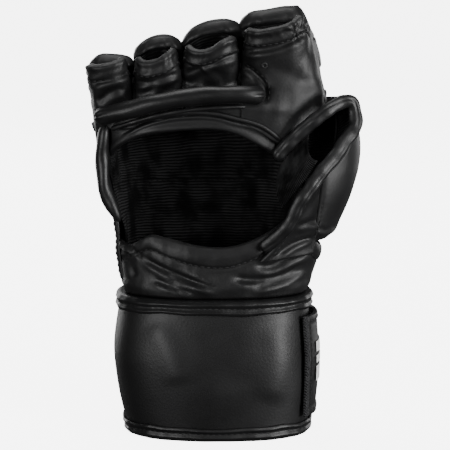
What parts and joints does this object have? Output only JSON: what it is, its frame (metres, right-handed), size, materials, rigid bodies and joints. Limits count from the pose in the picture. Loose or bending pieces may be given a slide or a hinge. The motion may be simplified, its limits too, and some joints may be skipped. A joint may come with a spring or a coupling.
{
  "type": "mma glove",
  "caption": "Right-hand grappling glove in black leather: open palm, grip bar, padded finger stalls, thumb loop and a wrist cuff with a wrap strap.",
  "frame": {"origin": "middle of the glove's footprint box, on the surface that the cuff stands on", "axes": "+Z from the cuff to the fingertips, -Y out of the palm, +X towards the thumb"},
  "size_m": [0.1355, 0.0746, 0.2108],
  "materials": {
    "shell_leather": "smooth coated leather, satin sheen, fine grain",
    "foam": "matt closed-cell foam",
    "lining_mesh": "matt ribbed knitted mesh",
    "hook_and_loop": "matt bristly tape",
    "woven_tape": "coarse woven edge tape",
    "elastic_web": "ribbed elastic",
    "print": "matt raised print"
  },
  "bodies": {
    "cuff": {"cuff_liner": "lining_mesh", "cuff_foam": "foam", "cuff_cover": "shell_leather", "cuff_bottom_binding": "shell_leather", "cuff_top_binding": "shell_leather", "loop_patch": "hook_and_loop", "strap_base": "shell_leather"},
    "strap_middle": {"strap_middle": "shell_leather", "strap_middle_hooks": "hook_and_loop"},
    "strap_end": {"strap_end": "shell_leather", "strap_end_hooks": "hook_and_loop", "strap_end_tape": "woven_tape", "strap_mark": "print"},
    "hand": {"back_cover": "shell_leather", "back_foam": "foam", "knuckle_foam": "foam", "back_liner_lower": "lining_mesh", "back_liner_upper": "lining_mesh", "wrist_sleeve": "lining_mesh", "heel_panel": "shell_leather", "heel_lining": "lining_mesh", "arch_band": "shell_leather", "index_side_panel": "shell_leather", "pinky_edge_hem": "shell_leather", "grip_bar_cover": "shell_leather", "grip_bar_core": "foam"},
    "thumb": {"thumb_pad_cover": "shell_leather", "thumb_foam": "foam", "thumb_lining": "lining_mesh", "thumb_rim": "shell_leather", "thumb_web": "elastic_web", "thumb_palm_panel": "shell_leather"},
    "pinky": {"pinky_stall": "shell_leather", "pinky_lining": "lining_mesh", "pinky_foam": "foam", "pinky_pad_cover": "shell_leather"},
    "ring": {"ring_stall": "shell_leather", "ring_lining": "lining_mesh", "ring_foam": "foam", "ring_pad_cover": "shell_leather"},
    "middle": {"middle_stall": "shell_leather", "middle_lining": "lining_mesh", "middle_foam": "foam", "middle_pad_cover": "shell_leather"},
    "index": {"index_stall": "shell_leather", "index_lining": "lining_mesh", "index_foam": "foam", "index_pad_cover": "shell_leather"}
  },
  "joints": [
    {"name": "wrist_flex", "type": "hinge", "parent": "cuff", "child": "hand", "pos_m": [-0.005, 0, 0.0715], "axis": [1, 0, 0], "range_deg": [-15, 18]},
    {"name": "strap_middle_peel", "type": "hinge", "parent": "cuff", "child": "strap_middle", "pos_m": [-0.0402, 0.0318, 0.0355], "axis": [0, 0, 1], "range_deg": [0, 50]},
    {"name": "strap_end_peel", "type": "hinge", "parent": "strap_middle", "child": "strap_end", "pos_m": [0.0253, 0.0331, 0.0355], "axis": [0, 0, 1], "range_deg": [0, 100]},
    {"name": "thumb_swing", "type": "hinge", "parent": "hand", "child": "thumb", "pos_m": [0.047, 0.009, 0.132], "axis": [0, 0, 1], "range_deg": [-7, 15]},
    {"name": "pinky_flex", "type": "hinge", "parent": "hand", "child": "pinky", "pos_m": [-0.055, -0.004, 0.164], "axis": [1, 0, 0], "range_deg": [-10, 28]},
    {"name": "ring_flex", "type": "hinge", "parent": "hand", "child": "ring", "pos_m": [-0.0322, -0.004, 0.169], "axis": [1, 0, 0], "range_deg": [-10, 28]},
    {"name": "middle_flex", "type": "hinge", "parent": "hand", "child": "middle", "pos_m": [-0.0062, -0.004, 0.173], "axis": [1, 0, 0], "range_deg": [-10, 28]},
    {"name": "index_flex", "type": "hinge", "parent": "hand", "child": "index", "pos_m": [0.0278, -0.004, 0.175], "axis": [1, 0, 0], "range_deg": [-10, 28]}
  ],
  "couplings": [
    {"joint": "strap_end_peel", "follows": "strap_middle_peel", "ratio": 2}
  ]
}
